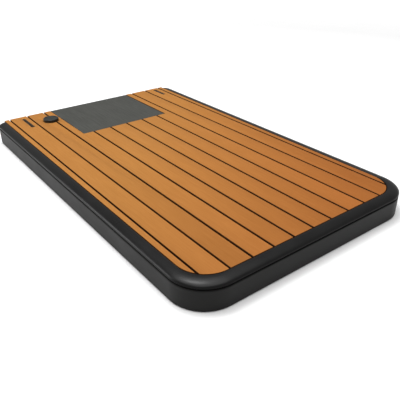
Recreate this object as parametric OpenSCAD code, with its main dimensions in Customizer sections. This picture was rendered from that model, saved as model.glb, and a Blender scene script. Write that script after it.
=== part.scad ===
// Kneeboard with a planked foam deck, a moulded tub, a bullnose rim and a screw-in vent.
// Origin at the middle of the underside. X runs across the board, +Y towards the tail, +Z up.

/* [Board] */
// Height from the underside to the top of the deck
board_h = 57; // [54:1:66]
// Length of the deck from its nose edge to the tail
deck_len = 912; // [860:2:980]
// Width of the rim outside the deck
rim_w = 23; // [19:1:24]
// Outer corner radius at the nose
nose_corner_r = 73; // [60:1:80]
// Outer corner radius at the tail
tail_corner_r = 25; // [22:1:30]
// Corner radius of the deck at the nose
deck_corner_r = 60; // [50:1:66]

/* [Deck] */
// Distance from one plank to the next
plank_pitch = 50; // [46:1:56]
// Width of the grooves between the planks
groove_w = 3.6; // [2.4:0.1:5]
// Width of the narrow strip along each side
margin_w = 15; // [12:1:20]
// Thickness of the plank foam
plank_t = 5; // [4:0.5:6]
// Thickness of the black foam sheet under the planks
mat_base_t = 2; // [1.5:0.5:3]
// Thickness of the rigid deck board
deck_board_t = 6; // [5:0.5:7]
// Gap between the deck and the rim
rim_gap = 1; // [0.6:0.1:1.5]

/* [Knee pad] */
// Width of the knee pad
pad_w = 255; // [230:1:258]
// Length of the knee pad, measured from the tail
pad_len = 228; // [180:1:260]
// Groove around the knee pad
pad_gap = 1.2; // [0.8:0.1:2]

/* [Strap slots] */
// Length of the left slot
slot_left_len = 77; // [60:1:84]
// Length of the right slot
slot_right_len = 57; // [50:1:66]
// Width of each slot
slot_w = 6.6; // [5.8:0.1:7.4]
// Radius of the wider end of each slot
slot_eye_r = 5; // [4.4:0.1:5.6]
// Wall thickness of the slot liners
liner_t = 1; // [0.8:0.1:1.4]
// Distance from the tail to the left slot
slot_left_from_tail = 22; // [18:1:40]
// Distance from the tail to the right slot
slot_right_from_tail = 17; // [16:1:40]
// Distance of the left slot from the left edge of its plank position
slot_left_in_plank = 33; // [20:1:36]
// Distance of the right slot from the left edge of its plank position
slot_right_in_plank = 29; // [20:1:36]

/* [Tub] */
// Thickness of the side walls
wall_t = 5; // [4:0.5:5.5]
// Thickness of the bottom
bottom_t = 4; // [3.5:0.5:5]
// Radius along the lower edge
lower_edge_r = 4; // [3:0.5:4.5]
// Radius along the top outer edge of the wall
upper_edge_r = 2.5; // [1.5:0.1:2.8]
// Wall thickness of the tunnels round the strap slots
tunnel_t = 3; // [2.4:0.2:4]
// Height of the bullnose rim above the side wall
rim_h = 13; // [12:0.5:14]
// Diameter of the screw bosses
boss_d = 14; // [12:1:16]
// Number of tracking channels in the bottom, each side of the middle
channels_per_side = 2; // [1:1:3]

/* [Foam core] */
// Outer diameter of the stiffening tubes
stringer_d = 18; // [14:1:20]
// Wall thickness of the stiffening tubes
stringer_t = 1.5; // [1:0.25:2.5]
// Length of the stiffening tubes
stringer_len = 780; // [600:10:800]

/* [Vent] */
// Diameter of the vent cap
cap_d = 42; // [41:0.2:44]
// Height of the vent cap above the deck
cap_h = 7.8; // [6.6:0.2:10]
// Distance of the vent from the board's centre line
vent_x = -159; // [-162:1:-156]
// Distance of the vent from the tail
vent_from_tail = 81; // [70:1:90]
// Diameter of the cap's stem
stem_d = 22; // [20:0.5:23]
// Radial clearance of the stem in the bush
stem_fit = 0.05; // [0.02:0.01:0.1]

/* [Hidden] */

$fn = 96;
eps = 0.02;
plank_count = 10;

black_shell = "#26282a";
teak = "#c68a46";
charcoal = "#5a5b57";
foam_white = "#e6dfc8";

deck_w = plank_count * plank_pitch + 2 * margin_w;
board_w = deck_w + 2 * rim_w;
board_len = deck_len + rim_w;
tail_y = board_len / 2;
nose_y = -board_len / 2;
deck_nose_y = nose_y + rim_w;

// Levels, measured from the underside
plank_z = board_h - plank_t;
mat_z = plank_z - mat_base_t;
deck_board_z = mat_z - deck_board_t;
wall_top_z = board_h - rim_h;

// Rim section
rim_crown_h = 8.5;
rim_crown_w = rim_w - 2;
crease_depth = 3;
crease_h = 1.8;
leg_t = 3.6;
leg_gap = 0.4;
leg_drop = 14;
leg_end_y = tail_y - tail_corner_r - 10;
core_inset = wall_t + leg_t + 2 * leg_gap;
arc_steps = 10;

// Fasteners that hold the deck board to the bosses
screw_shank_r = 2.5;
screw_head_r = 5;
screw_head_h = 2.8;
screw_len = 24;
boss_inset = 29;
screw_side_y = [-330, -110, 110, 300];
screw_end_x = [-120, 120];
screw_points = concat(
    [for (side = [-1, 1], y = screw_side_y) [side * (board_w / 2 - boss_inset), y]],
    [for (x = screw_end_x) [x, nose_y + boss_inset]],
    [for (x = screw_end_x) [x, tail_y - boss_inset]]
);

stringer_x = 90;
stringer_z = (bottom_t + deck_board_z) / 2;
stringer_mid_y = -20;

pad_nose_y = tail_y - pad_len;
liner_inset = 0.5;
slot_left_y = tail_y - slot_left_from_tail - slot_left_len / 2;
slot_right_y = tail_y - slot_right_from_tail - slot_right_len / 2;
slot_left_x = -5 * plank_pitch + slot_left_in_plank;
slot_right_x = 4 * plank_pitch + slot_right_in_plank;

// Vent
vent_y = tail_y - vent_from_tail;
flange_r = 19.6;
flange_top_z = board_h - 0.5;
barrel_r = 15;
barrel_bottom_z = 22;
vent_nut_h = 7;
gasket_outer_r = 18.2;
gasket_inner_r = 14;
gasket_t = 1.6;
gasket_seat_z = flange_top_z - gasket_t - 0.1;
cap_under_z = board_h + 0.2;
stem_bottom_z = 30;
membrane_seat_z = 36;
cavity_r = 6;
membrane_t = 0.8;
ring_h = 2.4;
cap_edge_r = 2.4;
grip_count = 24;

// ---------- outlines ----------

// Rectangle from nose to tail with one corner radius at the nose and another at the tail
module slab_outline(half_w, y_nose, y_tail, r_nose, r_tail) {
    polygon([
        [-half_w, y_nose + r_nose], [-half_w + r_nose, y_nose],
        [half_w - r_nose, y_nose], [half_w, y_nose + r_nose],
        [half_w, y_tail - r_tail], [half_w - r_tail, y_tail],
        [-half_w + r_tail, y_tail], [-half_w, y_tail - r_tail]
    ]);
    for (side = [-1, 1]) {
        translate([side * (half_w - r_nose), y_nose + r_nose]) circle(r = r_nose);
        translate([side * (half_w - r_tail), y_tail - r_tail]) circle(r = r_tail);
    }
}

// The board's own outline, moved inwards
module board_outline(inset = 0) {
    slab_outline(board_w / 2 - inset, nose_y + inset, tail_y - inset,
        nose_corner_r - inset, tail_corner_r - inset);
}

// The deck's outline; it runs to the tail
module deck_outline() {
    slab_outline(deck_w / 2, deck_nose_y, tail_y - 0.5, deck_corner_r, 2);
}

// Long slot along y with one wider end, middle at the origin
module slot_outline(length, grow = 0) {
    narrow_r = slot_w / 2 + grow;
    eye_r = slot_eye_r + grow;
    narrow_y = length / 2 - slot_w / 2;
    eye_y = length / 2 - slot_eye_r;
    translate([-narrow_r, -narrow_y]) square([2 * narrow_r, narrow_y + eye_y]);
    translate([0, -narrow_y]) circle(r = narrow_r);
    translate([0, eye_y]) circle(r = eye_r);
}

// The left slot at its place, wide end towards the nose
module left_slot(grow = 0) {
    translate([slot_left_x, slot_left_y]) rotate(180) slot_outline(slot_left_len, grow);
}

// The right slot at its place, wide end towards the tail
module right_slot(grow = 0) {
    translate([slot_right_x, slot_right_y]) slot_outline(slot_right_len, grow);
}

module both_slots(grow) {
    left_slot(grow);
    right_slot(grow);
}

// ---------- sweeps around the rim ----------

// Extrudes a section (x out from the board's edge, y up) straight along a side
module side_run(side, y_from, y_to) {
    translate([side * board_w / 2, side > 0 ? y_from : y_to, 0])
        rotate([90, 0, side > 0 ? 0 : 180])
            mirror([0, 0, 1]) linear_extrude(y_to - y_from) children();
}

// Turns a section round one corner; quarter 0 is +X +Y, counted anticlockwise
module corner_run(x, y, quarter, radius) {
    translate([x, y, 0]) rotate([0, 0, 90 * quarter])
        rotate_extrude(angle = 90) intersection() {
            translate([radius, 0]) children();
            translate([0.5, 0]) square([radius + 50, 2 * board_h]);
        }
}

// Extrudes a section across the nose
module nose_run() {
    translate([-board_w / 2 + nose_corner_r, nose_y, 0]) rotate([90, 0, -90])
        mirror([0, 0, 1]) linear_extrude(board_w - 2 * nose_corner_r) children();
}

// Extrudes a section across the tail
module tail_run() {
    translate([board_w / 2 - tail_corner_r, tail_y, 0]) rotate([90, 0, 90])
        mirror([0, 0, 1]) linear_extrude(board_w - 2 * tail_corner_r) children();
}

// Both sides, both nose corners and the nose, with the sides ending at y_to
module nose_loop(y_to) {
    for (side = [-1, 1]) {
        side_run(side, nose_y + nose_corner_r, y_to) children();
        corner_run(side * (board_w / 2 - nose_corner_r), nose_y + nose_corner_r,
            side > 0 ? 3 : 2, nose_corner_r) children();
    }
    nose_run() children();
}

// Both tail corners
module tail_corners() {
    for (side = [-1, 1])
        corner_run(side * (board_w / 2 - tail_corner_r), tail_y - tail_corner_r,
            side > 0 ? 0 : 1, tail_corner_r) children();
}

// ---------- tub ----------

// Section of the corner that is cut away to round the lower edge
module lower_edge_section() {
    difference() {
        translate([-lower_edge_r, -1]) square([lower_edge_r + 1, lower_edge_r + 1]);
        translate([-lower_edge_r, lower_edge_r]) circle(r = lower_edge_r);
    }
}

// Section of the corner that is cut away to round the wall's top outer edge
module upper_edge_section() {
    translate([-upper_edge_r, wall_top_z - upper_edge_r]) difference() {
        square(upper_edge_r + 1);
        circle(r = upper_edge_r);
    }
}

// One shallow channel with round ends along the underside
module tracking_channel(x) {
    half_w = 7;
    half_len = board_len / 2 - 120;
    translate([x, 0, -eps]) linear_extrude(1.6 + eps) {
        translate([-half_w, -half_len]) square([2 * half_w, 2 * half_len]);
        for (end = [-1, 1]) translate([0, end * half_len]) circle(r = half_w);
    }
}

module hull_shell() {
    color(black_shell)
        difference() {
            union() {
                difference() {
                    linear_extrude(wall_top_z) board_outline();
                    translate([0, 0, bottom_t]) linear_extrude(board_h) board_outline(wall_t);
                }
                for (p = screw_points)
                    translate([p[0], p[1], bottom_t - eps])
                        cylinder(d = boss_d, h = deck_board_z - bottom_t + eps);
                linear_extrude(deck_board_z) both_slots(liner_t + 0.1 + tunnel_t);
            }
            for (p = screw_points)
                translate([p[0], p[1], deck_board_z - screw_len])
                    cylinder(r = screw_shank_r + 0.05, h = screw_len + 1);
            translate([0, 0, -eps]) linear_extrude(board_h) both_slots(liner_t + 0.1);
            nose_loop(tail_y - tail_corner_r) lower_edge_section();
            tail_corners() lower_edge_section();
            tail_run() lower_edge_section();
            nose_loop(tail_y - tail_corner_r) upper_edge_section();
            tail_corners() upper_edge_section();
            for (side = [-1, 1], i = [1:channels_per_side])
                tracking_channel(side * (i * 44 - 10));
        }
}

// ---------- rim ----------

// Bullnose section: crown, crease above the tub wall, and a flat seat on the wall
module bullnose_section() {
    crown_x = -rim_crown_w;
    crown_z = board_h - rim_crown_h;
    polygon(concat(
        [[-rim_w - 12, mat_z + 0.3], [-rim_w - 12, board_h]],
        [for (i = [0:arc_steps]) let (a = 90 - 90 * i / arc_steps)
            [crown_x + rim_crown_w * cos(a), crown_z + rim_crown_h * sin(a)]],
        [[-0.4, crown_z - 1.4], [-crease_depth, wall_top_z + crease_h],
            [-crease_depth, wall_top_z], [-wall_t - leg_gap - leg_t, wall_top_z],
            [-wall_t - leg_gap - leg_t, mat_z + 0.3]]
    ));
}

// The leg that hooks down inside the tub wall
module leg_section() {
    translate([-wall_t - leg_gap - leg_t, wall_top_z - leg_drop]) square([leg_t, leg_drop + 1]);
}

module rail_moulding() {
    color(black_shell)
        difference() {
            union() {
                nose_loop(tail_y - tail_corner_r) bullnose_section();
                tail_corners() bullnose_section();
                nose_loop(leg_end_y) leg_section();
            }
            translate([0, 0, mat_z]) linear_extrude(board_h)
                slab_outline(deck_w / 2 + rim_gap, deck_nose_y - rim_gap, tail_y + 50,
                    deck_corner_r, 2);
        }
}

// ---------- core ----------

module stringer_tube(x) {
    color("#3b3f45")
        translate([x, stringer_mid_y - stringer_len / 2, stringer_z]) rotate([-90, 0, 0])
            difference() {
                cylinder(d = stringer_d, h = stringer_len);
                translate([0, 0, -1])
                    cylinder(d = stringer_d - 2 * stringer_t, h = stringer_len + 2);
            }
}

module foam_core() {
    leg_bottom_z = wall_top_z - leg_drop - leg_gap;
    color(foam_white)
        difference() {
            union() {
                translate([0, 0, bottom_t]) linear_extrude(leg_bottom_z - bottom_t)
                    board_outline(wall_t + 0.3);
                translate([0, 0, bottom_t]) linear_extrude(deck_board_z - bottom_t)
                    board_outline(core_inset);
            }
            for (p = screw_points)
                translate([p[0], p[1], 0]) cylinder(d = boss_d + 0.6, h = board_h);
            for (side = [-1, 1])
                translate([side * stringer_x, stringer_mid_y - stringer_len / 2 - 0.5, stringer_z])
                    rotate([-90, 0, 0]) cylinder(d = stringer_d + 0.2, h = stringer_len + 1);
            linear_extrude(board_h) both_slots(liner_t + tunnel_t + 0.3);
            translate([vent_x, vent_y, barrel_bottom_z - 2]) cylinder(r = 27, h = board_h);
            translate([vent_x, vent_y, bottom_t + 4]) cylinder(r = 6, h = board_h);
        }
}

// ---------- deck ----------

module deck_board() {
    tongue_half_w = board_w / 2 - tail_corner_r - 2;
    color("#1f2122")
        difference() {
            translate([0, 0, deck_board_z]) linear_extrude(deck_board_t) {
                board_outline(core_inset);
                translate([-tongue_half_w, tail_y - 70]) square([2 * tongue_half_w, 69.5]);
            }
            for (p = screw_points) translate([p[0], p[1], 0]) {
                cylinder(r = screw_shank_r + 0.2, h = board_h);
                translate([0, 0, mat_z - screw_head_h])
                    cylinder(r1 = screw_shank_r + 0.2, r2 = screw_head_r + 0.2,
                        h = screw_head_h + eps);
            }
            linear_extrude(board_h) both_slots(liner_t + 0.1);
            translate([vent_x, vent_y, 0]) cylinder(r = barrel_r + 0.1, h = board_h);
        }
}

// Countersunk screw, head up, top of the head at the origin
module countersunk_screw() {
    difference() {
        union() {
            translate([0, 0, -screw_head_h])
                cylinder(r1 = screw_shank_r, r2 = screw_head_r, h = screw_head_h);
            translate([0, 0, -screw_len]) cylinder(r = screw_shank_r, h = screw_len - 1);
        }
        translate([0, 0, -2]) cylinder(r = 1.6, h = 3, $fn = 6);
    }
}

module deck_screws() {
    color("silver")
        for (p = screw_points) translate([p[0], p[1], mat_z - 0.1]) countersunk_screw();
}

module deck_mat_base() {
    color("#17181a")
        difference() {
            translate([0, 0, mat_z]) linear_extrude(mat_base_t) deck_outline();
            linear_extrude(board_h) both_slots(liner_t + 0.1);
            translate([vent_x, vent_y, 0]) cylinder(r = flange_r + 0.2, h = board_h);
        }
}

// A lengthwise strip of the deck foam, clipped to the deck's outline and its openings
module deck_strip(x_from, x_to) {
    color(teak)
        difference() {
            translate([0, 0, plank_z]) linear_extrude(plank_t) intersection() {
                deck_outline();
                translate([x_from, nose_y]) square([x_to - x_from, board_len]);
            }
            translate([-pad_w / 2 - pad_gap, pad_nose_y - pad_gap, 0])
                cube([pad_w + 2 * pad_gap, pad_len + 20, board_h + 1]);
            linear_extrude(board_h + 1) both_slots(liner_t + 0.1);
            translate([vent_x, vent_y, 0]) cylinder(r = flange_r + 0.2, h = board_h + 1);
        }
}

// Plank number n, counted from the left
module plank(n) {
    left = -plank_count * plank_pitch / 2 + (n - 1) * plank_pitch;
    deck_strip(left + groove_w / 2, left + plank_pitch - groove_w / 2);
}

module margin_strip(side) {
    inner = plank_count * plank_pitch / 2 + groove_w / 2;
    outer = deck_w / 2 + 1;
    deck_strip(side > 0 ? inner : -outer, side > 0 ? outer : -inner);
}

module knee_pad() {
    color(charcoal)
        translate([-pad_w / 2, pad_nose_y, plank_z]) cube([pad_w, pad_len - 0.5, plank_t]);
}

// ---------- strap slots ----------

// Liners that carry the strap through the board
module strap_slot_left() {
    color("#2c2c2b")
        translate([0, 0, liner_inset]) linear_extrude(board_h - 2 * liner_inset) difference() {
            left_slot(liner_t);
            left_slot();
        }
}

module strap_slot_right() {
    color("#2c2c2b")
        translate([0, 0, liner_inset]) linear_extrude(board_h - 2 * liner_inset) difference() {
            right_slot(liner_t);
            right_slot();
        }
}

// ---------- vent ----------

module vent_body() {
    color("#2a2a2a")
        translate([vent_x, vent_y, 0]) difference() {
            union() {
                translate([0, 0, mat_z]) cylinder(r = flange_r, h = flange_top_z - mat_z);
                translate([0, 0, barrel_bottom_z]) cylinder(r = barrel_r, h = mat_z - barrel_bottom_z + 1);
            }
            translate([0, 0, barrel_bottom_z + 3])
                cylinder(r = stem_d / 2 + stem_fit, h = board_h);
            cylinder(r = 5, h = board_h);
            translate([0, 0, gasket_seat_z]) cylinder(r = gasket_outer_r + 0.3, h = board_h);
        }
}

module vent_nut() {
    color("#3a3a3a")
        translate([vent_x, vent_y, deck_board_z - vent_nut_h - 0.1]) difference() {
            cylinder(r = 24, h = vent_nut_h, $fn = 6);
            translate([0, 0, -1]) cylinder(r = barrel_r + 0.05, h = vent_nut_h + 2);
        }
}

module vent_gasket() {
    color("#111111")
        translate([vent_x, vent_y, gasket_seat_z + 0.1]) difference() {
            cylinder(r = gasket_outer_r, h = gasket_t);
            translate([0, 0, -1]) cylinder(r = gasket_inner_r, h = gasket_t + 2);
        }
}

// Half section of the cap, turned about the vent's axis
module cap_section() {
    top_z = board_h + cap_h;
    cap_r = cap_d / 2;
    polygon(concat(
        [[0, stem_bottom_z], [stem_d / 2, stem_bottom_z], [stem_d / 2, cap_under_z],
            [cap_r - 1, cap_under_z], [cap_r, cap_under_z + 1]],
        [for (i = [0:arc_steps]) let (a = 90 * i / arc_steps)
            [cap_r - cap_edge_r + cap_edge_r * cos(a), top_z - cap_edge_r + cap_edge_r * sin(a)]],
        [[0, top_z]]
    ));
}

module vent_cap() {
    color("#262626")
        translate([vent_x, vent_y, 0]) difference() {
            rotate_extrude() cap_section();
            // Cavity for the membrane, open at the stem's lower end
            translate([0, 0, stem_bottom_z - 1])
                cylinder(r = cavity_r, h = membrane_seat_z + membrane_t - stem_bottom_z + 1);
            cylinder(r = 3, h = board_h + cap_h / 2);
            // Breathing holes out through the side of the head
            for (i = [0:3]) translate([0, 0, board_h + cap_h / 2 - 1]) rotate([0, 90, 45 + 90 * i])
                cylinder(r = 0.8, h = cap_d);
            // Finger grips round the head
            for (i = [0:grip_count - 1]) rotate([0, 0, 360 * i / grip_count])
                translate([cap_d / 2 + 0.9, 0, cap_under_z - 1])
                    cylinder(r = 1.5, h = cap_h - cap_edge_r + 0.4, $fn = 24);
        }
}

module vent_membrane() {
    color("white")
        translate([vent_x, vent_y, membrane_seat_z]) cylinder(r = cavity_r - 0.1, h = membrane_t);
}

module membrane_ring() {
    color("#4a4a4a")
        translate([vent_x, vent_y, membrane_seat_z - ring_h]) difference() {
            cylinder(r = cavity_r - 0.05, h = ring_h);
            translate([0, 0, -1]) cylinder(r = cavity_r - 2, h = ring_h + 2);
        }
}

hull_shell();
rail_moulding();
foam_core();
stringer_tube(-stringer_x);  // stringer_left
stringer_tube(stringer_x);  // stringer_right
deck_board();
deck_screws();
deck_mat_base();
plank(1);  // plank_01
plank(2);  // plank_02
plank(3);  // plank_03
plank(4);  // plank_04
plank(5);  // plank_05
plank(6);  // plank_06
plank(7);  // plank_07
plank(8);  // plank_08
plank(9);  // plank_09
plank(10);  // plank_10
margin_strip(-1);  // margin_strip_left
margin_strip(1);  // margin_strip_right
knee_pad();
strap_slot_left();
strap_slot_right();
vent_body();
vent_nut();
vent_gasket();
vent_cap();
vent_membrane();
membrane_ring();
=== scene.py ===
"""Looks of the kneeboard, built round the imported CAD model: planked foam deck, knee pad, bullnose rim,
moulded tub, strap slots and screw-in vent. Sizes are named in millimetres; the scene is in metres."""

import math

import bmesh
import bpy
from mathutils import Euler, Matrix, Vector


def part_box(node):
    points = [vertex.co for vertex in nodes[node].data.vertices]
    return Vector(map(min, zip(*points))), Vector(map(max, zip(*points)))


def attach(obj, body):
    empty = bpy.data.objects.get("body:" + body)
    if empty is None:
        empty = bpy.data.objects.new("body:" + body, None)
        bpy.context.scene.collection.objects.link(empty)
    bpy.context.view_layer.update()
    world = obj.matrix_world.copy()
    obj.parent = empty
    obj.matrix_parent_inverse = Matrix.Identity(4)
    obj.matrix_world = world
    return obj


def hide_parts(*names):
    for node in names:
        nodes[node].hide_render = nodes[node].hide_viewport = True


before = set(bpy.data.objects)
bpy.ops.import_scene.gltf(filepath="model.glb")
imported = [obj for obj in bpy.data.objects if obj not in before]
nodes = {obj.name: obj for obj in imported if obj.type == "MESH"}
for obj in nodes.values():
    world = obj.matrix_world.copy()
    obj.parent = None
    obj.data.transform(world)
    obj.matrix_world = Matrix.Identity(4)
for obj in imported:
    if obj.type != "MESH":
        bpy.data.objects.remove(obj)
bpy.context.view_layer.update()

MM = 0.001

# ---------- sizes, in millimetres ----------

RIM_W = 23.0
NOSE_CORNER_R = 73.0
TAIL_CORNER_R = 25.0
DECK_CORNER_R = 60.0
RIM_GAP = 1.0
CROWN_H = 8.5
CROWN_W = RIM_W - 2
CREASE_DEPTH = 3.0
CREASE_H = 1.8
RIM_H = 13.0
RIM_EDGE_R = 1.3
LEG_T = 3.6
LEG_DROP = 14.0
LEG_OUTER = 5.4
LEG_STUB = 0.2
PLANK_PITCH = 50.0
PLANK_COUNT = 10
FACE_LAYER = 0.35
CHAMFER = 1.1
MAT_CHAMFER = 0.3
LINER_EDGE_R = 0.35
CAP_GAP = 0.2
CAP_GRIPS = 24
CAP_DISH = 0.9
THREAD_LEAD = 3.0
FLOOR_REACH = 9000.0

deck_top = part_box("knee_pad")[1].z / MM
half_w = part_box("hull_shell")[1].x / MM
tail_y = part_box("hull_shell")[1].y / MM
nose_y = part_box("hull_shell")[0].y / MM
wall_top = deck_top - RIM_H
deck_half_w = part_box("margin_strip_right")[1].x / MM
deck_nose_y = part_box("plank_05")[0].y / MM
leg_end_y = tail_y - TAIL_CORNER_R - 10
rail_seat_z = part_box("deck_mat_base")[0].z / MM + 0.3


# ---------- node helpers ----------

def new_material(name):
    """An empty node material, and its tree with a Principled shader on the output."""
    material = bpy.data.materials.new(name)
    material.use_nodes = True
    return material, material.node_tree, material.node_tree.nodes["Principled BSDF"]


def add_node(tree, kind, inputs=None, **settings):
    """A node with its settings and the default values of its inputs."""
    node = tree.nodes.new(kind)
    for key, value in settings.items():
        setattr(node, key, value)
    for key, value in (inputs or {}).items():
        node.inputs[key].default_value = value
    return node


def stretched_noise(tree, scale, noise_scale, detail=3.0, rough=0.55):
    """Noise in the frame's own coordinates, with each axis scaled first."""
    coords = add_node(tree, "ShaderNodeTexCoord")
    mapping = add_node(tree, "ShaderNodeMapping", {"Scale": scale})
    noise = add_node(tree, "ShaderNodeTexNoise", {"Scale": noise_scale, "Detail": detail, "Roughness": rough})
    tree.links.new(coords.outputs["Object"], mapping.inputs["Vector"])
    tree.links.new(mapping.outputs["Vector"], noise.inputs["Vector"])
    return noise.outputs["Fac"]


def ramp(tree, factor, low, high, colours):
    """Colour that goes from the first to the second as the factor goes from low to high."""
    node = add_node(tree, "ShaderNodeValToRGB")
    for element, position, colour in zip(node.color_ramp.elements, (low, high), colours):
        element.position = position
        element.color = (*colour, 1)
    tree.links.new(factor, node.inputs["Fac"])
    return node.outputs["Color"]


def mix(tree, kind, factor, first, second):
    """Two colours mixed. The factor is a number or an output."""
    node = add_node(tree, "ShaderNodeMix", data_type="RGBA", blend_type=kind)
    if isinstance(factor, float):
        node.inputs["Factor"].default_value = factor
    else:
        tree.links.new(factor, node.inputs["Factor"])
    tree.links.new(first, node.inputs["A"])
    tree.links.new(second, node.inputs["B"])
    return node.outputs["Result"]


def calculate(tree, operation, *values):
    """A Math node. Each value is a number or an output."""
    node = add_node(tree, "ShaderNodeMath", operation=operation)
    for socket, value in zip(node.inputs, values):
        if isinstance(value, (int, float)):
            socket.default_value = value
        else:
            tree.links.new(value, socket)
    return node.outputs["Value"]


def map_range(tree, value, from_low, from_high, to_low, to_high):
    """A value carried from one range to another and held inside it."""
    node = add_node(tree, "ShaderNodeMapRange",
                    {"From Min": from_low, "From Max": from_high, "To Min": to_low, "To Max": to_high})
    tree.links.new(value, node.inputs["Value"])
    return node.outputs["Result"]


def bump(tree, shader, heights, strength=1.0):
    """Relief on the shader from pairs of (height from 0 to 1, depth in metres)."""
    previous = None
    for height, depth in heights:
        node = add_node(tree, "ShaderNodeBump", {"Strength": strength, "Distance": depth})
        tree.links.new(height, node.inputs["Height"])
        if previous is not None:
            tree.links.new(previous, node.inputs["Normal"])
        previous = node.outputs["Normal"]
    tree.links.new(previous, shader.inputs["Normal"])


def grey(value):
    return (value, value, value)


# ---------- materials ----------

def moulded_plastic(name, colour, roughness, specular, pebble=1400.0, pebble_depth=3e-5, underside_shade=1.0):
    """Moulded plastic: pebble grain, cloudy gloss, worn edges. A factor below 1 for the underside paints
    shade on what faces down or sideways, by dulling its reflections.
    """
    material, tree, shader = new_material(name)
    cloud = stretched_noise(tree, (1, 1, 1), 14.0, 4.0)
    dark = tuple(c * 0.82 for c in colour)
    light = tuple(min(1.0, c * 1.2) for c in colour)
    base = ramp(tree, cloud, 0.35, 0.68, (dark, light))
    geometry = add_node(tree, "ShaderNodeNewGeometry")
    rub = map_range(tree, geometry.outputs["Pointiness"], 0.53, 0.62, 0.0, 0.5)
    worn = ramp(tree, rub, 0.0, 1.0, (colour, tuple(min(1.0, c * 2.6) for c in colour)))
    tree.links.new(mix(tree, "MIX", rub, base, worn), shader.inputs["Base Color"])
    fine = stretched_noise(tree, (1, 1, 1), pebble, 2.0)
    gloss = map_range(tree, cloud, 0.3, 0.7, roughness - 0.04, roughness + 0.05)
    tree.links.new(gloss, shader.inputs["Roughness"])
    if underside_shade < 1.0:
        # Painted shade: reflections fade on faces that point down or sideways.
        facing = add_node(tree, "ShaderNodeSeparateXYZ")
        tree.links.new(geometry.outputs["Normal"], facing.inputs["Vector"])
        painted_shade_gloss = map_range(tree, facing.outputs["Z"], -0.1, 0.65, underside_shade * specular, specular)
        tree.links.new(painted_shade_gloss, shader.inputs["Specular IOR Level"])
    else:
        shader.inputs["Specular IOR Level"].default_value = specular
    bump(tree, shader, [(fine, pebble_depth)])
    return material


def brushed_foam(name, colours, streak_colours, streak_share, mottle_share, roughness=0.82):
    """Closed-cell foam sheet, brushed lengthwise: fine streaks, soft mottling and open pores."""
    material, tree, shader = new_material(name)
    streaks = stretched_noise(tree, (900, 16, 900), 1.0, 4.0, 0.6)
    hair = stretched_noise(tree, (2600, 60, 2600), 1.0, 2.0, 0.6)
    mottle = stretched_noise(tree, (1, 0.45, 1), 22.0, 4.0)
    pores = stretched_noise(tree, (1, 1, 1), 2400.0, 1.0)
    base = ramp(tree, mottle, 0.3, 0.7, colours)
    line = ramp(tree, streaks, 0.32, 0.66, streak_colours)
    soft = mix(tree, "MIX", mottle_share, line, base)
    blended = mix(tree, "MIX", streak_share, soft, line)
    bump(tree, shader, [(streaks, 1.2e-4), (hair, 6e-5), (pores, 4e-5)], 0.7)
    shader.inputs["Roughness"].default_value = roughness
    shader.inputs["Specular IOR Level"].default_value = 0.10
    return material, tree, shader, blended


def teak_material():
    """Two-layer deck foam: a teak-coloured face with painted shade, darker and redder towards the right of
    the nose, on a dark backing.
    """
    material, tree, shader, base = brushed_foam(
        "teak_foam",
        ((0.352, 0.147, 0.033), (0.394, 0.170, 0.041)),
        ((0.330, 0.134, 0.029), (0.410, 0.179, 0.044)),
        0.30, 0.55)
    coords = add_node(tree, "ShaderNodeTexCoord")
    parts = add_node(tree, "ShaderNodeSeparateXYZ")
    tree.links.new(coords.outputs["Object"], parts.inputs["Vector"])
    number = calculate(tree, "FLOOR", calculate(tree, "MULTIPLY", parts.outputs["X"], 1000 / PLANK_PITCH))
    shade = add_node(tree, "ShaderNodeTexWhiteNoise", noise_dimensions="1D")
    tree.links.new(calculate(tree, "ADD", number, 31.0), shade.inputs["W"])
    tint = ramp(tree, shade.outputs["Value"], 0.0, 1.0, (grey(0.97), grey(1.0)))
    shaded = mix(tree, "MULTIPLY", 1.0, base, tint)
    # Painted shade: the face darkens and reddens towards the nose's right, away from the light at the left
    # and tail.
    across = calculate(tree, "MULTIPLY", parts.outputs["X"], 0.9)
    slope = calculate(tree, "SUBTRACT", across, parts.outputs["Y"])
    falloff_share = map_range(tree, slope, -0.1, 0.55, 0.0, 1.0)
    painted_falloff_shade = ramp(tree, falloff_share, 0.0, 1.0, ((1.0, 1.0, 1.0), (0.90, 0.72, 0.68)))
    face = mix(tree, "MULTIPLY", 1.0, shaded, painted_falloff_shade)
    cells = stretched_noise(tree, (1, 1, 1), 1100.0, 2.0)
    backing = ramp(tree, cells, 0.3, 0.7, ((0.030, 0.010, 0.003), (0.052, 0.018, 0.005)))
    depth = calculate(tree, "SUBTRACT", deck_top, calculate(tree, "MULTIPLY", parts.outputs["Z"], 1000.0))
    below = map_range(tree, depth, FACE_LAYER - 0.15, FACE_LAYER + 0.05, 0.0, 1.0)
    tree.links.new(mix(tree, "MIX", below, face, backing), shader.inputs["Base Color"])
    return material


def pad_material():
    """Charcoal foam of the knee pad."""
    material, tree, shader, base = brushed_foam(
        "charcoal_foam",
        ((0.046, 0.047, 0.042), (0.064, 0.065, 0.059)),
        ((0.040, 0.041, 0.037), (0.078, 0.079, 0.073)),
        0.35, 0.5, 0.78)
    tree.links.new(base, shader.inputs["Base Color"])
    return material


def mat_material():
    """Black foam sheet that shows in the grooves."""
    material, tree, shader = new_material("black_foam")
    pores = stretched_noise(tree, (1, 1, 1), 900.0, 3.0)
    tree.links.new(ramp(tree, pores, 0.35, 0.7, ((0.006, 0.004, 0.003), (0.014, 0.010, 0.008))),
                   shader.inputs["Base Color"])
    shader.inputs["Roughness"].default_value = 0.9
    shader.inputs["Specular IOR Level"].default_value = 0.15
    bump(tree, shader, [(pores, 8e-5)])
    return material


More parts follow.
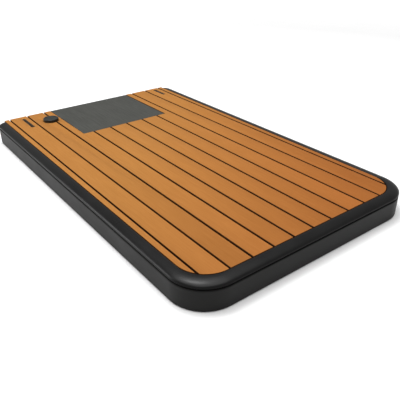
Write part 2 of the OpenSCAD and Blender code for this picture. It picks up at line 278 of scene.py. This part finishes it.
def speckled(name, low, high, scale, roughness, depth=4e-5, metallic=0.0):
    """A plain inner material with a two-tone speckle."""
    material, tree, shader = new_material(name)
    grains = stretched_noise(tree, (1, 1, 1), scale, 3.0)
    tree.links.new(ramp(tree, grains, 0.35, 0.68, (low, high)), shader.inputs["Base Color"])
    shader.inputs["Roughness"].default_value = roughness
    shader.inputs["Metallic"].default_value = metallic
    bump(tree, shader, [(grains, depth)])
    return material


def wound_tube():
    """Wound glass-fibre tube: fine bands across its length."""
    material, tree, shader = new_material("wound_tube")
    bands = stretched_noise(tree, (3, 420, 3), 1.0, 3.0)
    tree.links.new(ramp(tree, bands, 0.35, 0.65, ((0.030, 0.036, 0.042), (0.075, 0.085, 0.095))),
                   shader.inputs["Base Color"])
    shader.inputs["Roughness"].default_value = 0.38
    bump(tree, shader, [(bands, 1e-4)])
    return material


materials = {
    "shell": moulded_plastic("shell_plastic", (0.0095, 0.0092, 0.0088), 0.46, 0.12),
    # The rim gets painted shade: its reflections are dulled where it faces down or sideways.
    "rim": moulded_plastic("rim_plastic", (0.0045, 0.0044, 0.0043), 0.30, 0.24, underside_shade=0.1),
    "fitting": moulded_plastic("fitting_plastic", (0.022, 0.021, 0.019), 0.5, 0.2),
    "liner": moulded_plastic("liner_plastic", (0.100, 0.078, 0.058), 0.6, 0.2),
    "cap": moulded_plastic("cap_plastic", (0.017, 0.018, 0.016), 0.34, 0.24, 2200.0, 2e-5),
    "teak": teak_material(),
    "pad": pad_material(),
    "mat": mat_material(),
    "panel": speckled("deck_panel", (0.010, 0.011, 0.011), (0.022, 0.023, 0.023), 260.0, 0.6),
    "core": speckled("core_foam", (0.60, 0.54, 0.40), (0.80, 0.75, 0.62), 700.0, 0.9, 2e-4),
    "steel": speckled("stainless_steel", grey(0.55), grey(0.68), 900.0, 0.3, 1e-5, 1.0),
    "rubber": speckled("seal_rubber", grey(0.008), grey(0.016), 1500.0, 0.7),
    "membrane": speckled("membrane_film", grey(0.78), grey(0.88), 2500.0, 0.85),
    "tube": wound_tube(),
}


# ---------- mesh helpers ----------

def finish_mesh(bm, name, material, sharp_degrees=38.0):
    """An object in the scene from a bmesh, smooth except across sharp edges."""
    bmesh.ops.recalc_face_normals(bm, faces=bm.faces)
    mesh = bpy.data.meshes.new(name)
    bm.to_mesh(mesh)
    bm.free()
    mesh.shade_smooth()
    mesh.set_sharp_from_angle(angle=math.radians(sharp_degrees))
    mesh.materials.append(material)
    piece = bpy.data.objects.new(name, mesh)
    bpy.context.scene.collection.objects.link(piece)
    return piece


def stand_for(piece, body, node):
    """The piece rides on a body and replaces a CAD node."""
    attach(piece, body)
    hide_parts(node)
    return piece


def node_mesh(node):
    """A clean bmesh of a CAD node: doubles merged and flat faces whole."""
    bm = bmesh.new()
    bm.from_mesh(nodes[node].data)
    bmesh.ops.remove_doubles(bm, verts=bm.verts, dist=2e-6)
    bmesh.ops.dissolve_limit(bm, angle_limit=math.radians(0.5), verts=bm.verts, edges=bm.edges)
    return bm


def top_outline(bm, top):
    """Edges between the flat top and a wall."""
    chosen = []
    for edge in bm.edges:
        level = all(abs(v.co.z - top) < 1e-5 for v in edge.verts)
        flat = [f for f in edge.link_faces if abs(f.normal.z) > 0.99]
        if level and len(edge.link_faces) == 2 and len(flat) == 1:
            chosen.append(edge)
    return chosen


def rounded_copy(node, name, material, radius, segments=3):
    """A copy of a CAD node with its top outline rounded."""
    bm = node_mesh(node)
    top = max(v.co.z for v in bm.verts)
    bmesh.ops.bevel(bm, geom=top_outline(bm, top), offset=radius * MM, segments=segments,
                    profile=0.5, affect="EDGES", clamp_overlap=True)
    return finish_mesh(bm, name, material)


# ---------- deck ----------

def build_deck_mat():
    """The foam sheet under the planks, which shows in the grooves."""
    piece = rounded_copy("deck_mat_base", "deck_mat_sheet", materials["mat"], MAT_CHAMFER, 1)
    stand_for(piece, "board", "deck_mat_base")


def build_planks():
    for number in range(1, PLANK_COUNT + 1):
        node = f"plank_{number:02d}"
        piece = rounded_copy(node, f"deck_plank_{number:02d}", materials["teak"], CHAMFER, 1)
        stand_for(piece, "board", node)
    for side in ("left", "right"):
        node = f"margin_strip_{side}"
        piece = rounded_copy(node, f"deck_margin_{side}", materials["teak"], CHAMFER, 1)
        stand_for(piece, "board", node)


def build_knee_pad():
    """Foam sheet with rounded edges and a slight crown."""
    low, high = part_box("knee_pad")
    bm = bmesh.new()
    steps = 40
    edge = 1.4 * MM
    crown = 0.5 * MM
    border_drop = 0.1 * MM
    rows = []
    stops = [i / steps for i in range(steps + 1)]
    for v in stops:
        row = []
        for u in stops:
            x = low.x + (high.x - low.x) * u
            y = low.y + (high.y - low.y) * v
            inside = min(x - low.x, high.x - x, y - low.y, high.y - y)
            rise = crown * (1 - (2 * u - 1) ** 4) * (1 - (2 * v - 1) ** 4)
            drop = crown if inside > 0 else crown + border_drop
            row.append(bm.verts.new((x, y, high.z - drop + rise)))
        rows.append(row)
    for a, b in zip(rows, rows[1:]):
        for i in range(steps):
            bm.faces.new((a[i], a[i + 1], b[i + 1], b[i]))
    rim = [e for e in bm.edges if len(e.link_faces) == 1]
    side = bmesh.ops.extrude_edge_only(bm, edges=rim)
    walls = [v for v in side["geom"] if isinstance(v, bmesh.types.BMVert)]
    for vert in walls:
        vert.co.z = low.z
    bmesh.ops.holes_fill(bm, edges=[e for e in bm.edges if len(e.link_faces) == 1])
    bmesh.ops.recalc_face_normals(bm, faces=bm.faces)
    sharp = [e for e in rim if e.is_valid and len(e.link_faces) == 2]
    bmesh.ops.bevel(bm, geom=sharp, offset=edge, segments=4, profile=0.5, affect="EDGES")
    piece = finish_mesh(bm, "knee_pad_foam", materials["pad"])
    stand_for(piece, "board", "knee_pad")


# ---------- rim ----------

def opening_distance(x, y):
    """Signed distance from the edge of the deck's opening, which has no end at the tail."""
    across = abs(x) - (deck_half_w + RIM_GAP - DECK_CORNER_R)
    along = (deck_nose_y - RIM_GAP + DECK_CORNER_R) - y
    outside = math.hypot(max(across, 0), max(along, 0))
    return outside + min(max(across, along), 0) - DECK_CORNER_R


def rim_width(x, y, direction):
    """Width of the rim from a point on the board's edge inwards to the deck's opening."""
    near, far = 0.0, 2 * RIM_W
    for _ in range(40):
        middle = (near + far) / 2
        if opening_distance(x - direction[0] * middle, y - direction[1] * middle) > 0:
            near = middle
        else:
            far = middle
    return near


def rim_path():
    """Points on the board's edge with their outward directions, from the left tail corner round the nose."""
    right = []
    corner_x = half_w - NOSE_CORNER_R
    corner_y = nose_y + NOSE_CORNER_R
    nose_steps, corner_steps, side_steps, tail_steps = 10, 32, 24, 20
    tail_end = 75.0
    for i in range(nose_steps):
        right.append((corner_x * i / nose_steps, nose_y, 0.0, -1.0))
    for i in range(corner_steps + 1):
        angle = math.radians(-90 + 90 * i / corner_steps)
        c, s = math.cos(angle), math.sin(angle)
        right.append((corner_x + NOSE_CORNER_R * c, corner_y + NOSE_CORNER_R * s, c, s))
    side_end = tail_y - TAIL_CORNER_R
    stops = [corner_y + (side_end - corner_y) * i / side_steps for i in range(1, side_steps)]
    stops += [leg_end_y - 0.05, leg_end_y + 0.05]
    for y in sorted(stops):
        right.append((half_w, y, 1.0, 0.0))
    for i in range(tail_steps + 1):
        angle = math.radians(tail_end * i / tail_steps)
        c, s = math.cos(angle), math.sin(angle)
        right.append((half_w - TAIL_CORNER_R + TAIL_CORNER_R * c, side_end + TAIL_CORNER_R * s, c, s))
    left = [(-x, y, -nx, ny) for x, y, nx, ny in reversed(right[1:])]
    return left + right


def crown_height(inward):
    """Height of the rim's top at a distance in from the board's edge."""
    if inward >= CROWN_W:
        return deck_top
    share = (CROWN_W - inward) / CROWN_W
    return deck_top - CROWN_H + CROWN_H * math.sqrt(max(0.0, 1 - share * share))


def rim_section(width, leg_bottom):
    """Closed section of the rim as (distance in from the edge, height), from the crease up and over."""
    inner_r = min(RIM_EDGE_R, 0.4 * width)
    lip_z = deck_top - CROWN_H
    lip_drop = lip_z - wall_top - CREASE_H
    lip_steps = 10
    points = [(CREASE_DEPTH, wall_top)]
    for i in range(lip_steps + 1):
        angle = math.radians(90 - 90 * i / lip_steps)
        points.append((CREASE_DEPTH * (1 - math.cos(angle)), lip_z - lip_drop * math.sin(angle)))
    reach = min(width - inner_r, CROWN_W)
    end = math.acos(1 - reach / CROWN_W)
    crown_steps = 18
    for i in range(1, crown_steps + 1):
        inward = CROWN_W * (1 - math.cos(end * i / crown_steps))
        points.append((inward, crown_height(inward)))
    top = crown_height(width - inner_r)
    round_steps = 5
    lean = 0.001
    for i in range(round_steps + 1):
        angle = math.radians(90 * i / round_steps)
        points.append((width - inner_r + inner_r * math.sin(angle) + lean * i,
                       top - inner_r + inner_r * math.cos(angle)))
    inner_leg = LEG_OUTER + LEG_T
    points += [(width + lean * (round_steps + 1), rail_seat_z), (inner_leg, rail_seat_z)]
    points += [(inner_leg, leg_bottom), (LEG_OUTER, leg_bottom), (LEG_OUTER, wall_top)]
    return points


def build_rim():
    bm = bmesh.new()
    rings = []
    for x, y, nx, ny in rim_path():
        width = rim_width(x, y, (nx, ny))
        leg_bottom = wall_top - (LEG_DROP if y < leg_end_y else LEG_STUB)
        ring = []
        for inward, height in rim_section(width, leg_bottom):
            place = Vector((x - nx * inward, y - ny * inward, height)) * MM
            ring.append(bm.verts.new(place))
        rings.append(ring)
    count = len(rings[0])
    for a, b in zip(rings, rings[1:]):
        for i in range(count):
            j = (i + 1) % count
            bm.faces.new((a[i], b[i], b[j], a[j]))
    bm.faces.new(rings[0])
    bm.faces.new(list(reversed(rings[-1])))
    piece = finish_mesh(bm, "bullnose_rim", materials["rim"], 42.0)
    stand_for(piece, "board", "rail_moulding")


# ---------- tub ----------

def build_tub():
    """The tub, with normals weighted by area so that its flat faces look flat beside the rounded edges."""
    bm = bmesh.new()
    bm.from_mesh(nodes["hull_shell"].data)
    bmesh.ops.remove_doubles(bm, verts=bm.verts, dist=2e-6)
    piece = finish_mesh(bm, "moulded_tub", materials["shell"], 30.0)
    weighted = piece.modifiers.new("flat_faces", "WEIGHTED_NORMAL")
    weighted.keep_sharp = True
    weighted.weight = 100
    stand_for(piece, "board", "hull_shell")


# ---------- strap slots ----------

def build_slot_liners():
    for side in ("left", "right"):
        node = f"strap_slot_{side}"
        piece = rounded_copy(node, f"slot_liner_{side}", materials["liner"], LINER_EDGE_R)
        stand_for(piece, "board", node)


# ---------- vent ----------

def revolve(bm, centre, profile, steps, warp=None):
    """Turns (radius, height) points about a vertical axis; warp may change each point's radius."""
    rings = []
    for radius, height in profile:
        if radius < 1e-9:
            rings.append([bm.verts.new((centre.x, centre.y, height * MM))])
            continue
        ring = []
        for i in range(steps):
            angle = 2 * math.pi * i / steps
            r = warp(radius, height, angle) if warp else radius
            ring.append(bm.verts.new((centre.x + r * MM * math.cos(angle),
                                      centre.y + r * MM * math.sin(angle), height * MM)))
        rings.append(ring)
    for a, b in zip(rings, rings[1:]):
        for i in range(steps):
            j = (i + 1) % steps
            if len(a) == 1:
                bm.faces.new((a[0], b[j], b[i]))
            elif len(b) == 1:
                bm.faces.new((a[i], a[j], b[0]))
            else:
                bm.faces.new((a[i], a[j], b[j], b[i]))


def build_cap():
    """Knurled cap with a dished top and a threaded stem."""
    low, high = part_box("vent_cap")
    centre = (low + high) / 2
    cap_r = (high.x - low.x) / 2 / MM
    top = high.z / MM
    under = deck_top + CAP_GAP
    stem_bottom = low.z / MM
    stem_r = 11.0
    cavity_r = 6.0
    cavity_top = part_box("vent_membrane")[1].z / MM
    edge_r = 2.0
    dish_r = cap_r - 5.0

    def warp(radius, height, angle):
        if radius > cap_r - 1.2 and under + 0.6 < height < top - edge_r + 0.1:
            wave = 0.5 + 0.5 * math.cos(CAP_GRIPS * angle)
            return radius - 0.6 * wave ** 3
        if abs(radius - stem_r) < 1e-6 and height < under - 1.0:
            turns = (height - stem_bottom) / THREAD_LEAD - angle / (2 * math.pi)
            phase = abs((turns % 1.0) - 0.5) * 2
            return radius - 0.9 * min(1.0, max(0.0, phase * 2.2 - 0.6))
        return radius

    profile = [(0, cavity_top), (cavity_r, cavity_top), (cavity_r, stem_bottom), (stem_r - 0.8, stem_bottom)]
    thread_steps = 72
    thread_top = under - 0.9
    for i in range(thread_steps + 1):
        profile.append((stem_r, stem_bottom + 0.6 + (thread_top - stem_bottom - 0.6) * i / thread_steps))
    profile += [(stem_r, under), (cap_r - 1.0, under), (cap_r - 0.3, under + 0.3), (cap_r, under + 1.0)]
    side_steps = 6
    for i in range(1, side_steps):
        profile.append((cap_r, under + 1.0 + (top - edge_r - under - 1.0) * i / side_steps))
    round_steps = 6
    for i in range(round_steps + 1):
        angle = math.radians(90 * i / round_steps)
        profile.append((cap_r - edge_r + edge_r * math.cos(angle), top - edge_r + edge_r * math.sin(angle)))
    floor_z = top - CAP_DISH
    profile += [(dish_r + 1.2, top), (dish_r + 0.5, top - 0.15), (dish_r, top - 0.55)]
    profile += [(dish_r - 0.6, floor_z), (dish_r - 3, floor_z - 0.05), (0, floor_z - 0.1)]
    bm = bmesh.new()
    revolve(bm, centre, profile, 8 * CAP_GRIPS, warp)
    bmesh.ops.remove_doubles(bm, verts=bm.verts, dist=1e-6)
    piece = finish_mesh(bm, "vent_screw_cap", materials["cap"], 40.0)
    stand_for(piece, "cap", "vent_cap")


# ---------- carried-over CAD nodes ----------

def give(node, material):
    """Sets a CAD node's only material."""
    mesh = nodes[node].data
    mesh.materials.clear()
    mesh.materials.append(materials[material])


NODE_MATERIALS = {
    "foam_core": "core", "stringer_left": "tube", "stringer_right": "tube", "deck_board": "panel",
    "deck_screws": "steel", "vent_body": "fitting", "vent_nut": "fitting", "vent_gasket": "rubber",
    "vent_membrane": "membrane", "membrane_ring": "fitting",
}


# ---------- stage ----------

def build_floor():
    """Pale floor that brightens into the backdrop beyond the reach of the lights."""
    material, tree, shader = new_material("pale_floor")
    tone = stretched_noise(tree, (1, 1, 1), 2.5, 2.0)
    tree.links.new(ramp(tree, tone, 0.3, 0.7, (grey(0.93), grey(0.945))), shader.inputs["Base Color"])
    shader.inputs["Roughness"].default_value = 0.75
    shader.inputs["Specular IOR Level"].default_value = 0.2
    coords = add_node(tree, "ShaderNodeTexCoord")
    reach = add_node(tree, "ShaderNodeVectorMath", operation="LENGTH")
    tree.links.new(coords.outputs["Object"], reach.inputs[0])
    backdrop = map_range(tree, reach.outputs["Value"], 2.0, 4.0, 0.0, 0.6)
    tree.links.new(backdrop, shader.inputs["Emission Strength"])
    bm = bmesh.new()
    bmesh.ops.create_grid(bm, x_segments=8, y_segments=8, size=FLOOR_REACH * MM)
    floor = finish_mesh(bm, "floor", material)


def area_light(name, place, aim, size, power, colour=(1.0, 1.0, 1.0)):
    """A square soft light at a place, turned towards a point."""
    data = bpy.data.lights.new(name, "AREA")
    data.shape = "SQUARE"
    data.size = size
    data.energy = power
    data.color = colour
    light = bpy.data.objects.new(name, data)
    light.location = place
    light.rotation_euler = (Vector(aim) - Vector(place)).to_track_quat("-Z", "Y").to_euler()
    bpy.context.scene.collection.objects.link(light)


def build_lights():
    world = bpy.data.worlds.new("studio")
    bpy.context.scene.world = world
    world.use_nodes = True
    background = world.node_tree.nodes["Background"]
    background.inputs["Color"].default_value = (1.0, 1.0, 1.0, 1.0)
    background.inputs["Strength"].default_value = 0.36
    area_light("overhead", (-0.4, -0.1, 4.0), (-0.4, -0.1, 0), 5.0, 185.0)
    area_light("key", (-0.2, 0.3, 2.6), (0, 0, 0), 0.8, 22.0)
    area_light("side", (-2.3, 2.0, 1.0), (0, 0, 0), 1.6, 27.0)


def build_camera():
    """Camera at the photograph's angle: seen from the nose's left, looking down."""
    azimuth = math.radians(37.1)
    elevation = math.radians(29.44)
    roll = math.radians(-0.315)
    distance = 0.995
    aim = Vector((-102.8, -236.0, deck_top)) * MM
    back = Vector((-math.sin(azimuth) * math.cos(elevation), -math.cos(azimuth) * math.cos(elevation),
                   math.sin(elevation)))
    data = bpy.data.cameras.new("camera")
    data.sensor_width = 36.0
    data.lens = 44.425
    data.clip_start = 0.02
    data.clip_end = 60.0
    camera = bpy.data.objects.new("camera", data)
    camera.location = aim + back * distance
    turn = (-back).to_track_quat("-Z", "Y") @ Euler((0, 0, roll)).to_quaternion()
    camera.rotation_mode = "QUATERNION"
    camera.rotation_quaternion = turn
    bpy.context.scene.collection.objects.link(camera)
    bpy.context.scene.camera = camera


# ---------- build ----------

build_tub()
build_rim()
build_deck_mat()
build_planks()
build_knee_pad()
build_slot_liners()
build_cap()
for node_name, material_name in NODE_MATERIALS.items():
    give(node_name, material_name)
build_floor()
build_lights()
build_camera()
bpy.context.scene.view_settings.view_transform = "Standard"
